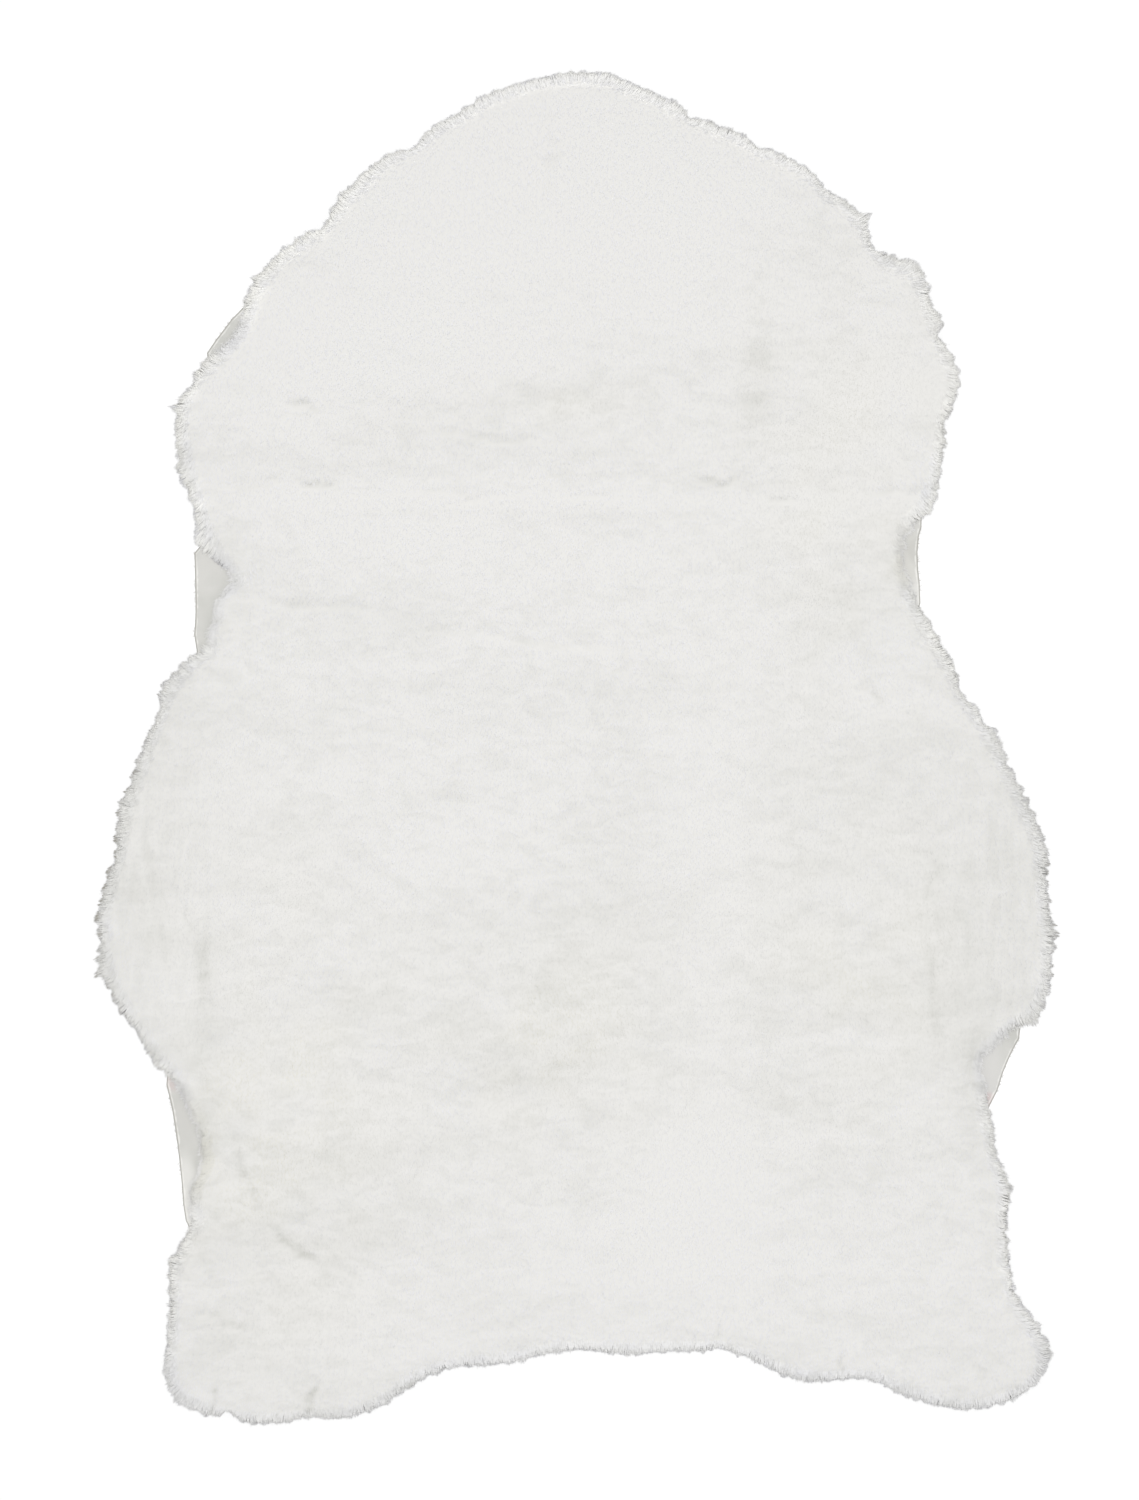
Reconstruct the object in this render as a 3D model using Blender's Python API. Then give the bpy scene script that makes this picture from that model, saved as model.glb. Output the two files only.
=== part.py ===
"""A small sheepskin rug lying flat, in one piece: a thin hide with its fleece standing on it.

It is modelled where it lies, in metres, with +Z up. +Y runs to the crown, where the neck was, and -Y to the
two hind feet. The origin is on the floor, under the middle of the rug.
"""

import math
import random

import bmesh
import bpy
from mathutils import Vector, noise
from mathutils.geometry import delaunay_2d_cdt

MM = 0.001

# Heights above the floor. The hide lies on it, and the fleece stands on the hide.
HIDE_THICKNESS = 2.0 * MM
FLEECE_FOOT = 2.8 * MM  # the lowest edge of the fleece's side
PILE_HEIGHT = 16.5 * MM  # of the fleece above its foot

# The hide's edge is hidden under the fleece, this far in from the outline, except in the bare pits.
HIDE_SETBACK = 9.0 * MM
PIT_AT_OUTLINE = 0.4  # share of a pit's depth at which the hide has come out to the outline

# One lock of wool grows from each stretch of the rim.
LOCK_COUNT = 288
LOCK_WIDTH_SPREAD = 0.35  # a stretch is up to this share wider or narrower than the mean
LOCK_REACH = 5.2 * MM  # from root to tip, where the outline's tufts are 1
LOCK_REACH_SPREAD = 0.55
LOCK_STRAY = 2.4 * MM  # how far a tip may lean along the rim
NAP_LEAN = 2.6 * MM  # how far a tip is combed towards -Y
TIP_ABOVE_FLOOR = 1.0 * MM
TIP_ABOVE_BARE_HIDE = 1.4 * MM
TIP_HEIGHT_SPREAD = 1.6 * MM
LOCK_SEED = 7

# Rings of the fleece's rounded side: distance in from the rim, and share of the pile's full height there.
RIM_RINGS = (
    {"name": "side", "inset_mm": 0.0, "height_share": 0.42},
    {"name": "shoulder", "inset_mm": 2.8, "height_share": 0.74},
    {"name": "brow", "inset_mm": 7.5, "height_share": 0.92},
    {"name": "top", "inset_mm": 15.0, "height_share": 1.00},
)
FOOT_INSET = 1.6 * MM
LUMP_SPACING = 16.0 * MM  # between the points of the fleece's top

# Lumps of the fleece's top, coarse and fine.
LUMPS = (
    {"name": "swell", "size_mm": 70, "depth_mm": 1.7},
    {"name": "clump", "size_mm": 30, "depth_mm": 1.2},
)

# The rug's outline, clockwise from the crown as seen from above: landmarks (x, y), and how far the locks of
# each stretch stand out, as a share of the usual reach.
OUTLINE = (
    {"name": "crown", "tufts": 0.55, "at_mm": ((-47, 411), (7, 422), (42, 411))},
    {"name": "right shoulder", "tufts": 0.75, "at_mm": ((78, 393), (115, 377), (153, 356), (180, 329))},
    {"name": "right fore leg", "tufts": 1.20, "at_mm": ((191, 308), (215, 299), (223, 272), (237, 239))},
    {"name": "right elbow", "tufts": 1.00, "at_mm": ((235, 211), (228, 185), (226, 156), (213, 134))},
    {"name": "right waist", "tufts": 0.90, "at_mm": ((214, 98), (225, 70), (239, 44), (254, 22))},
    {"name": "right flank", "tufts": 1.10, "at_mm": ((270, -13), (288, -48), (295, -106))},
    {"name": "right haunch", "tufts": 1.00, "at_mm": ((294, -156), (273, -184), (260, -224))},
    {"name": "right hind leg", "tufts": 1.00, "at_mm": ((269, -268), (268, -312), (288, -362))},
    {"name": "right foot", "tufts": 0.75, "at_mm": ((295, -381), (281, -401), (242, -412))},
    {"name": "right hem", "tufts": 0.60, "at_mm": ((206, -403), (171, -392), (140, -394))},
    {"name": "hem", "tufts": 0.60, "at_mm": ((97, -378), (60, -375), (30, -378), (0, -374), (-55, -385))},
    {"name": "left hem", "tufts": 0.65, "at_mm": ((-97, -395), (-130, -414), (-165, -419))},
    {"name": "left foot", "tufts": 0.70, "at_mm": ((-204, -420), (-243, -410), (-259, -386))},
    {"name": "left hind leg", "tufts": 0.90, "at_mm": ((-254, -326), (-245, -298), (-250, -238))},
    {"name": "left haunch", "tufts": 1.00, "at_mm": ((-259, -203), (-284, -164), (-297, -137))},
    {"name": "left flank", "tufts": 1.10, "at_mm": ((-296, -105), (-286, -46), (-264, 24))},
    {"name": "left waist", "tufts": 0.90, "at_mm": ((-251, 49), (-239, 68), (-238, 112))},
    {"name": "left elbow", "tufts": 1.00, "at_mm": ((-241, 158), (-248, 182), (-251, 211))},
    {"name": "left fore leg", "tufts": 0.90, "at_mm": ((-234, 242), (-209, 276), (-189, 308))},
    {"name": "left shoulder", "tufts": 0.75, "at_mm": ((-160, 326), (-130, 362), (-100, 381), (-84, 394))},
)
CURVE_STEPS = 12  # points of the smooth curve between two landmarks

# Bare pits at the legs, where the fleece stops short of the hide's edge: side of the rug, y of the pit's two
# ends, greatest bare width, and how far down the pit that is, as a share of its length.
BARE_PITS = (
    {"name": "left nick", "side": -1, "top_mm": 283, "bottom_mm": 243, "width_mm": 8, "widest": 0.60},
    {"name": "left fore pit", "side": -1, "top_mm": 130, "bottom_mm": 54, "width_mm": 21, "widest": 0.30},
    {"name": "right fore pit", "side": 1, "top_mm": 146, "bottom_mm": 82, "width_mm": 11, "widest": 0.35},
    {"name": "left hind pit", "side": -1, "top_mm": -196, "bottom_mm": -306, "width_mm": 15, "widest": 0.50},
    {"name": "right hind pit", "side": 1, "top_mm": -172, "bottom_mm": -230, "width_mm": 13, "widest": 0.38},
)

# Troughs where the fleece parts: old fold lines across the rug, and partings on the flanks.
TROUGHS = (
    {"name": "left fore fold", "ends_mm": ((-245, 160), (-20, 163)), "half_width_mm": 13, "depth_mm": 2.2},
    {"name": "right fore fold", "ends_mm": ((-20, 163), (222, 156)), "half_width_mm": 13, "depth_mm": 2.8},
    {"name": "shoulder fold", "ends_mm": ((-238, 215), (30, 198)), "half_width_mm": 14, "depth_mm": 1.4},
    {"name": "waist fold", "ends_mm": ((-205, 90), (15, 66)), "half_width_mm": 14, "depth_mm": 1.4},
    {"name": "left parting", "ends_mm": ((-252, -78), (-226, -166)), "half_width_mm": 14, "depth_mm": 2.6},
    {"name": "right parting", "ends_mm": ((224, -75), (182, -180)), "half_width_mm": 15, "depth_mm": 2.2},
    {"name": "leg hollow", "ends_mm": ((-212, -245), (-140, -332)), "half_width_mm": 19, "depth_mm": 2.4},
    {"name": "back line", "ends_mm": ((16, 30), (10, -290)), "half_width_mm": 18, "depth_mm": 1.2},
)

MATERIALS = (
    {"name": "fleece", "colour": (0.80, 0.79, 0.765, 1.0), "roughness": 0.95},
    {"name": "hide", "colour": (0.66, 0.65, 0.62, 1.0), "roughness": 0.80},
)
HIDE_SLOT = 1


def clear_scene():
    for old in list(bpy.data.objects):
        bpy.data.objects.remove(old)


def landmarks_of_outline():
    """A vector for each landmark: its x and y, and the reach of the locks there as its third value."""
    landmarks = []
    for stretch in OUTLINE:
        for x, y in stretch["at_mm"]:
            landmarks.append(Vector((x * MM, y * MM, stretch["tufts"] * LOCK_REACH)))
    return landmarks


def smooth_closed_curve(landmarks):
    """Points of a Catmull-Rom curve that passes through every landmark and closes on itself."""
    points = []
    for i, here in enumerate(landmarks):
        before, after = landmarks[i - 1], landmarks[(i + 1) % len(landmarks)]
        beyond = landmarks[(i + 2) % len(landmarks)]
        for step in range(CURVE_STEPS):
            t = step / CURVE_STEPS
            straight = 2 * here + t * (after - before)
            bend = t * t * (2 * before - 5 * here + 4 * after - beyond)
            twist = t**3 * (3 * here - before - 3 * after + beyond)
            points.append((straight + bend + twist) / 2)
    return points


def cut_into_stretches(points, rng):
    """The closed line through the points, as LOCK_COUNT points whose distances differ a little."""
    widths = [1 + LOCK_WIDTH_SPREAD * rng.uniform(-1, 1) for _ in range(LOCK_COUNT)]
    lengths = [(points[(i + 1) % len(points)].xy - p.xy).length for i, p in enumerate(points)]
    scale = sum(lengths) / sum(widths)
    cut, travelled, target = [], 0.0, 0.0
    for i, length in enumerate(lengths):
        while len(cut) < LOCK_COUNT and target < travelled + length:
            share = (target - travelled) / length
            cut.append(points[i].lerp(points[(i + 1) % len(points)], share))
            target += widths[len(cut) - 1] * scale
        travelled += length
    return cut


def inset_ring(ring, distances):
    """The clockwise ring moved inwards, by a distance for each point."""
    moved = []
    for i, distance in enumerate(distances):
        along = (ring[(i + 1) % len(ring)] - ring[i - 1]).normalized()
        moved.append(ring[i] + distance * Vector((along.y, -along.x)))
    return moved


def relaxed(ring):
    """The ring with each point drawn halfway to the middle of its neighbours, which rounds tight corners."""
    return [0.5 * p + 0.25 * (ring[i - 1] + ring[(i + 1) % len(ring)]) for i, p in enumerate(ring)]


def bareness_at(point):
    """How bare the hide is at a point of the outline, from 0 to 1, and how wide its bare border is there."""
    for pit in BARE_PITS:
        top, bottom = pit["top_mm"] * MM, pit["bottom_mm"] * MM
        if point.x * pit["side"] > 0 and bottom < point.y < top:
            skew = math.log(0.5) / math.log(pit["widest"])
            share = math.sin(math.pi * ((top - point.y) / (top - bottom)) ** skew)
            return share, share * pit["width_mm"] * MM
    return 0.0, 0.0


def trough_depth(x, y):
    """How far the troughs lower the fleece at a point."""
    here, lowered = Vector((x, y)), 0.0
    for trough in TROUGHS:
        start, end = (Vector(point) * MM for point in trough["ends_mm"])
        run = end - start
        share = max(0.0, min(1.0, (here - start).dot(run) / run.length_squared))
        away = (here - start - share * run).length / (trough["half_width_mm"] * MM)
        if away < 1:
            lowered = max(lowered, trough["depth_mm"] * MM * (1 + math.cos(math.pi * away)) / 2)
    return lowered


def fleece_height(x, y):
    """Height of the fleece's top above its foot."""
    height = PILE_HEIGHT - trough_depth(x, y)
    for lump in LUMPS:
        height += lump["depth_mm"] * MM * noise.noise(Vector((x, y, 0)) / (lump["size_mm"] * MM))
    return height


def is_inside(point, ring):
    """Whether a point lies inside a closed ring, by counting the sides that a line to its right crosses."""
    inside = False
    for i, b in enumerate(ring):
        a = ring[i - 1]
        if (a.y > point.y) != (b.y > point.y):
            crossing = a.x + (point.y - a.y) / (b.y - a.y) * (b.x - a.x)
            inside = inside != (point.x < crossing)
    return inside


def lump_points(ring):
    """Points in staggered rows inside the ring, each a little out of line."""
    row_pitch = LUMP_SPACING * math.sqrt(3) / 2
    columns = math.ceil(max(abs(p.x) for p in ring) / LUMP_SPACING)
    rows = math.ceil(max(abs(p.y) for p in ring) / row_pitch)
    points = []
    for row in range(-rows, rows + 1):
        for column in range(-columns, columns + 1):
            stagger = 0.25 if row % 2 else -0.25
            place = Vector(((column + stagger) * LUMP_SPACING, row * row_pitch))
            place += 0.2 * LUMP_SPACING * noise.noise_vector(place.to_3d() / LUMP_SPACING).xy
            if is_inside(place, ring) and min((place - p).length for p in ring) > 0.6 * LUMP_SPACING:
                points.append(place)
    return points


def add_ring(mesh, ring, heights):
    return [mesh.verts.new((p.x, p.y, z)) for p, z in zip(ring, heights, strict=True)]


def bridge_rings(mesh, first, second):
    """The band of four-sided faces between two rings of vertices."""
    return [mesh.faces.new((first[i - 1], first[i], second[i], second[i - 1])) for i in range(len(first))]


def fill_ring(mesh, ring, inner_points=(), height_at=None):
    """Fills a ring of vertices with triangles, through the inner points, each raised by height_at(x, y)."""
    flat = [v.co.xy for v in ring] + list(inner_points)
    sides = [(i, (i + 1) % len(ring)) for i in range(len(ring))]
    _, _, triangles, sources, _, _ = delaunay_2d_cdt(flat, sides, [], 1, 1e-7)
    vertices = list(ring) + [mesh.verts.new((p.x, p.y, height_at(p.x, p.y))) for p in inner_points]
    for triangle in triangles:
        mesh.faces.new([vertices[sources[corner][0]] for corner in triangle])


def add_hide(mesh, outline, foot, bareness):
    """The hide's flat underside and its edge, and its top as far as the fleece's foot."""
    setbacks = [HIDE_SETBACK * (1 - min(1.0, share / PIT_AT_OUTLINE)) for share, _ in bareness]
    edge = inset_ring(outline, setbacks)
    lower = add_ring(mesh, edge, [0.0] * len(edge))
    upper = add_ring(mesh, edge, [HIDE_THICKNESS] * len(edge))
    fill_ring(mesh, lower)
    bridge_rings(mesh, lower, upper)
    bridge_rings(mesh, upper, foot)
    for face in mesh.faces:
        face.material_index = HIDE_SLOT


def add_fleece(mesh, rim, foot):
    """The fleece's rounded side and lumpy top. Returns the faces of its rim, which the locks grow from."""
    rings, ring, reached = [foot], rim, 0.0
    for row in RIM_RINGS:
        ring = relaxed(inset_ring(ring, [row["inset_mm"] * MM - reached] * len(ring)))
        reached = row["inset_mm"] * MM
        heights = [FLEECE_FOOT + row["height_share"] * fleece_height(p.x, p.y) for p in ring]
        rings.append(add_ring(mesh, ring, heights))
    bands = [bridge_rings(mesh, below, above) for below, above in zip(rings, rings[1:])]
    fill_ring(mesh, rings[-1], lump_points(ring), lambda x, y: FLEECE_FOOT + fleece_height(x, y))
    return bands[0]


def grow_lock(mesh, face, reach, lowest, rng):
    """Draws the middle of a rim face out to a drooping tip, which makes a lock with four sides."""
    outward = face.normal.xy.normalized()
    along = Vector((-outward.y, outward.x))
    root = face.calc_center_median()
    lean = LOCK_STRAY * rng.uniform(-1, 1) + NAP_LEAN * along.dot(Vector((0.0, -1.0)))
    tip = root.xy + outward * reach * (1 + LOCK_REACH_SPREAD * rng.uniform(-1, 1)) + along * lean
    peak = bmesh.ops.poke(mesh, faces=[face])["verts"][0]
    peak.co = (tip.x, tip.y, lowest + TIP_HEIGHT_SPREAD * rng.random())


def make_material(name, colour, roughness):
    material = bpy.data.materials.new(name)
    material.use_nodes = True
    surface = material.node_tree.nodes["Principled BSDF"]
    surface.inputs["Base Color"].default_value = colour
    surface.inputs["Roughness"].default_value = roughness
    surface.inputs["Metallic"].default_value = 0.0
    return material


def centre_over_origin(mesh):
    """Moves the mesh so that the middle of its box is over the origin."""
    middle = [(min(v.co[k] for v in mesh.verts) + max(v.co[k] for v in mesh.verts)) / 2 for k in (0, 1)]
    bmesh.ops.translate(mesh, vec=(-middle[0], -middle[1], 0.0), verts=mesh.verts)


def build_pelt():
    rng = random.Random(LOCK_SEED)
    cut = cut_into_stretches(smooth_closed_curve(landmarks_of_outline()), rng)
    outline, reaches = [p.xy for p in cut], [p.z for p in cut]
    bareness = [bareness_at(p) for p in outline]

    # The locks fill half of their border, so the rim lies half of their reach inside the outline.
    rim = relaxed(inset_ring(outline, [reach / 2 + bare for reach, (_, bare) in zip(reaches, bareness)]))
    mesh = bmesh.new()
    foot = add_ring(mesh, inset_ring(rim, [FOOT_INSET] * len(rim)), [FLEECE_FOOT] * len(rim))
    add_hide(mesh, outline, foot, bareness)
    rim_faces = add_fleece(mesh, rim, foot)
    bmesh.ops.recalc_face_normals(mesh, faces=mesh.faces)
    for i, face in enumerate(rim_faces):
        is_bare = max(bareness[i - 1][0], bareness[i][0]) > 0
        lowest = HIDE_THICKNESS + TIP_ABOVE_BARE_HIDE if is_bare else TIP_ABOVE_FLOOR
        grow_lock(mesh, face, (reaches[i - 1] + reaches[i]) / 2, lowest, rng)
    centre_over_origin(mesh)
    return mesh


def main():
    clear_scene()
    mesh = build_pelt()
    data = bpy.data.meshes.new("pelt")
    mesh.to_mesh(data)
    mesh.free()
    for row in MATERIALS:
        data.materials.append(make_material(row["name"], row["colour"], row["roughness"]))
    data.shade_smooth()
    data.set_sharp_from_angle(angle=math.radians(50))
    bpy.context.scene.collection.objects.link(bpy.data.objects.new("pelt", data))


main()
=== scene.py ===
import math

import bpy
import numpy as np
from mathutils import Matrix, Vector, kdtree, noise


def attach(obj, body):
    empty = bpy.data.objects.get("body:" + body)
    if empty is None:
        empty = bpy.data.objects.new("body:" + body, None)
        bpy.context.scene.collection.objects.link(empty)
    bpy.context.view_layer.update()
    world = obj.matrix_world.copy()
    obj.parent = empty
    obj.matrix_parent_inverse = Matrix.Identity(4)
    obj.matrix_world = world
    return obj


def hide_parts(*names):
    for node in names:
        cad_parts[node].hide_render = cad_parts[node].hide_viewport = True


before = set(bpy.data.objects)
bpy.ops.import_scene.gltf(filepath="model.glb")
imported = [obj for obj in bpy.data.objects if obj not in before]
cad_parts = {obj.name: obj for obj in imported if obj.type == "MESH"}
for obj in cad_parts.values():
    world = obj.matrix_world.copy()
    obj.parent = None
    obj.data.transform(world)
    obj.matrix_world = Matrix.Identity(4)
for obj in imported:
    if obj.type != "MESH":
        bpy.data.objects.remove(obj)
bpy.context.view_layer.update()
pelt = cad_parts["pelt"]
scene = bpy.context.scene
mm = 0.001
slack = 0.05 * mm  # heights this close together count as level
upAxis = np.array((0.0, 0.0, 1.0))
napAxis = np.array((0.0, -1.0, 0.0))  # the wool is combed from the neck to the hind feet


def linearColour(hexCode):
    channels = [int(hexCode[i:i + 2], 16) / 255 for i in (1, 3, 5)]
    return [c / 12.92 if c <= 0.04045 else ((c + 0.055) / 1.055) ** 2.4 for c in channels] + [1.0]


def addNode(tree, kind, settings=(), links=()):
    node = tree.nodes.new(kind)
    for key, value in dict(settings).items():
        if isinstance(key, int) or key in node.inputs:
            node.inputs[key].default_value = value
        else:
            setattr(node, key, value)
    for key, source in dict(links).items():
        tree.links.new(source, node.inputs[key])
    return node


def addObject(name, data):
    piece = bpy.data.objects.new(name, data)
    scene.collection.objects.link(piece)
    return piece


def useOnly(piece):
    bpy.ops.object.select_all(action="DESELECT")
    piece.select_set(True)
    bpy.context.view_layer.objects.active = piece


def applyModifier(piece, kind, **settings):
    useOnly(piece)
    modifier = piece.modifiers.new(kind.lower(), kind)
    for key, value in settings.items():
        setattr(modifier, key, value)
    bpy.ops.object.modifier_apply(modifier=modifier.name)


def copyOfPelt(name):
    # the CAD node's mesh is loose triangles, so the copy is merged before it is shaped
    piece = addObject(name, pelt.data.copy())
    piece.data.materials.clear()
    useOnly(piece)
    bpy.ops.object.mode_set(mode="EDIT")
    bpy.ops.mesh.select_all(action="SELECT")
    bpy.ops.mesh.remove_doubles(threshold=0.00001)
    bpy.ops.object.mode_set(mode="OBJECT")
    return piece


def selectOnly(piece, kind, chosen):
    kinds = ("vertices", "edges", "polygons")
    for each in kinds:
        elements = getattr(piece.data, each)
        elements.foreach_set("select", chosen if each == kind else np.zeros(len(elements), bool))
    scene.tool_settings.mesh_select_mode = [each == kind for each in kinds]


def vectorsOf(piece, key):
    vectors = np.zeros(len(piece.data.vertices) * 3, np.float32)
    piece.data.vertices.foreach_get(key, vectors)
    return vectors.reshape(-1, 3).astype(float)


def pointsOf(piece):
    return vectorsOf(piece, "co")


def normalsOf(piece):
    return vectorsOf(piece, "normal")


def movePoints(piece, points):
    piece.data.vertices.foreach_set("co", points.astype(np.float32).ravel())
    piece.data.update()


def facesBelow(piece, height):
    heights = pointsOf(piece)[:, 2]
    return np.array([heights[list(face.vertices)].max() < height for face in piece.data.polygons])


def isUpright(face):
    return abs(face.normal.z) < 0.1


def unit(vectors):
    return vectors / np.maximum(np.linalg.norm(vectors, axis=-1, keepdims=True), 1e-9)


def alongSurface(vectors, normals):
    return vectors - normals * (vectors * normals).sum(axis=1, keepdims=True)


def curve(values, line):
    # a line is a row of places in mm and what it is worth at each
    places, worths = line
    return np.interp(values, [place * mm for place in places], worths)


def treeOf(points):
    tree = kdtree.KDTree(len(points))
    for i, point in enumerate(points):
        tree.insert(point, i)
    tree.balance()
    return tree


def nearestOf(centres, points):
    tree = treeOf(centres)
    return np.array([tree.find(point)[1] for point in points])


def markPoints(piece, name, kind, values):
    marks = piece.data.attributes.new(name, kind, "POINT")
    values = np.ravel(values).astype(np.float32)
    marks.data.foreach_set("vector" if kind == "FLOAT_VECTOR" else "value", values)


# The hide: the pelt's own underside, thickened, with its cut edge rounded a little.
hideSheet = {
    "thickness": 1.9 * mm,
    "flatBands": (1.2 * mm, 1.3 * mm),  # inside the cut edge
    "edgeRound": 0.55 * mm,
    "edgeTones": ((-2.4, -1.2, -0.55, -0.1), (0, 1, -0.7, -1)),  # 1 is the pale cut, partly painted highlight, -1 the painted shade of the lip round it
}


def makeHide():
    piece = copyOfPelt("hide")
    selectOnly(piece, "polygons", facesBelow(piece, slack))
    bpy.ops.object.mode_set(mode="EDIT")
    bpy.ops.mesh.select_all(action="INVERT")
    bpy.ops.mesh.delete(type="FACE")
    bpy.ops.mesh.select_all(action="SELECT")
    bpy.ops.mesh.dissolve_faces()
    bpy.ops.mesh.extrude_region_move(TRANSFORM_OT_translate={"value": (0, 0, hideSheet["thickness"])})
    for band in hideSheet["flatBands"]:
        bpy.ops.mesh.inset(thickness=band, depth=0)
    bpy.ops.mesh.select_all(action="SELECT")
    bpy.ops.mesh.normals_make_consistent(inside=False)
    bpy.ops.object.mode_set(mode="OBJECT")

    # of the upright cut, the edges that run along it are rounded
    heights = pointsOf(piece)[:, 2]
    cut = {key for face in piece.data.polygons if isUpright(face) for key in face.edge_keys}
    edges = [edge.key for edge in piece.data.edges]
    along = np.array([abs(heights[a] - heights[b]) < slack for a, b in edges])
    selectOnly(piece, "edges", along & [key in cut for key in edges])
    bpy.ops.object.mode_set(mode="EDIT")
    bpy.ops.mesh.bevel(offset=hideSheet["edgeRound"], segments=2, affect="EDGES")
    bpy.ops.object.mode_set(mode="OBJECT")
    return piece


def outlineOf(piece):
    # points 1 mm apart round the piece's upright edge, and which way is out at each
    points, outward = [], []
    for face in filter(isUpright, piece.data.polygons):
        corners = [piece.data.vertices[i].co.xy for i in face.vertices]
        end = max(corners, key=lambda corner: (corner - corners[0]).length)
        steps = max(1, round((end - corners[0]).length / mm))
        for step in range(steps):
            points.append((*corners[0].lerp(end, (step + 0.5) / steps), 0.0))
            outward.append(face.normal.xy)
    return np.array(points), unit(np.array(outward))


def nearOutline(points):
    return nearestOf(outline, points * (1, 1, 0))


def beyondOutline(points, near):
    # how far outside the hide's outline each point is, below 0 inside it
    return ((points - outline[near])[:, :2] * outward[near]).sum(axis=1)


hide = makeHide()
hideBox = np.ptp(pointsOf(hide), axis=0)
outline, outward = outlineOf(hide)
hideOut = beyondOutline(pointsOf(hide), nearOutline(pointsOf(hide)))
markPoints(hide, "edge", "FLOAT", curve(hideOut, hideSheet["edgeTones"]))
print("hide:", len(hide.data.polygons), "faces,", [round(float(side), 3) for side in hideBox], "m")

# The underwool: the dense foot of the fleece, which the wool's tips stand on. It is the pelt without its
# locks, smoothed, drawn in by the wool's depth, and marked with the partings that the photograph shows.
underwool = {
    "lockTips": (0.8 * mm, 5.6 * mm),  # between these heights only the locks' tips have four edges
    "cutHeight": 3.0 * mm,  # below it the side goes straight down
    "cutBlend": 0.8 * mm,
    "bottom": 1.7 * mm,
    "voxel": 3.0 * mm,
    "smoothSteps": 22,
    "facing": (-0.75, -0.25, 0.45, 0.92),  # how far up its surface faces: undercut, rim, slope and top
    "topDepth": 0.7 * mm,  # under the tips of the wool
    "rimDepth": 3.6 * mm,
    "tufts": ((0.040, 1.0 * mm), (0.011, 0.55 * mm)),  # size, height
    "tuftsFrom": -0.3,  # how far up it faces where they start
    "tuftsBlend": 0.5,
}

# ends, half width and depth, in mm
partings = (
    ((-238, 163), (-178, 165), 4.0, 0.5),
    ((-172, 165), (-146, 163), 3.0, 1.6),
    ((-130, 160), (-31, 158), 3.0, 0.6),
    ((-74, 155), (-56, 154), 2.5, 1.4),
    ((-14, 157), (26, 156), 3.0, 0.9),
    ((76, 166), (102, 164), 3.0, 1.9),
    ((117, 155), (140, 154), 3.0, 1.6),
    ((178, 160), (216, 159), 3.0, 1.1),
    ((-182, 216), (-158, 211), 4.0, 1.5),
    ((-90, 197), (-20, 190), 4.0, 1.1),
    ((-200, 92), (-120, 86), 4.5, 0.9),
    ((-90, 74), (40, 60), 4.5, 0.9),
    ((-246, -92), (-236, -118), 3.5, 1.3),
    ((-235, -120), (-226, -168), 6.0, 1.5),
    ((-262, -100), (-252, -126), 4.0, 0.7),
    ((-256, -150), (-254, -172), 4.0, 0.8),
    ((228, -64), (214, -104), 4.0, 1.2),
    ((206, -62), (238, -78), 4.0, 1.1),
    ((218, -120), (226, -190), 5.0, 1.2),
    ((-214, -236), (-196, -290), 5.0, 1.5),
    ((-196, -290), (-150, -330), 5.0, 1.6),
    ((-150, -318), (-128, -334), 4.0, 1.3),
    ((-238, -352), (-216, -348), 4.0, 1.2),
    ((-216, -348), (-204, -366), 4.0, 1.2),
    ((-168, -418), (-160, -392), 3.5, 2.2),
    ((-226, -414), (-222, -394), 3.5, 2.0),
    ((-104, -408), (-98, -388), 3.5, 1.6),
    ((86, -372), (90, -352), 3.5, 2.0),
    ((166, -390), (164, -370), 3.5, 1.6),
    ((254, -396), (246, -376), 3.5, 1.4),
    ((96, 404), (78, 380), 3.5, 1.2),
    ((14, 60), (12, 10), 5.0, 0.8),
    ((-30, -190), (-62, -206), 4.0, 0.8),
    ((176, 44), (196, 20), 4.5, 1.3),
)

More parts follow.
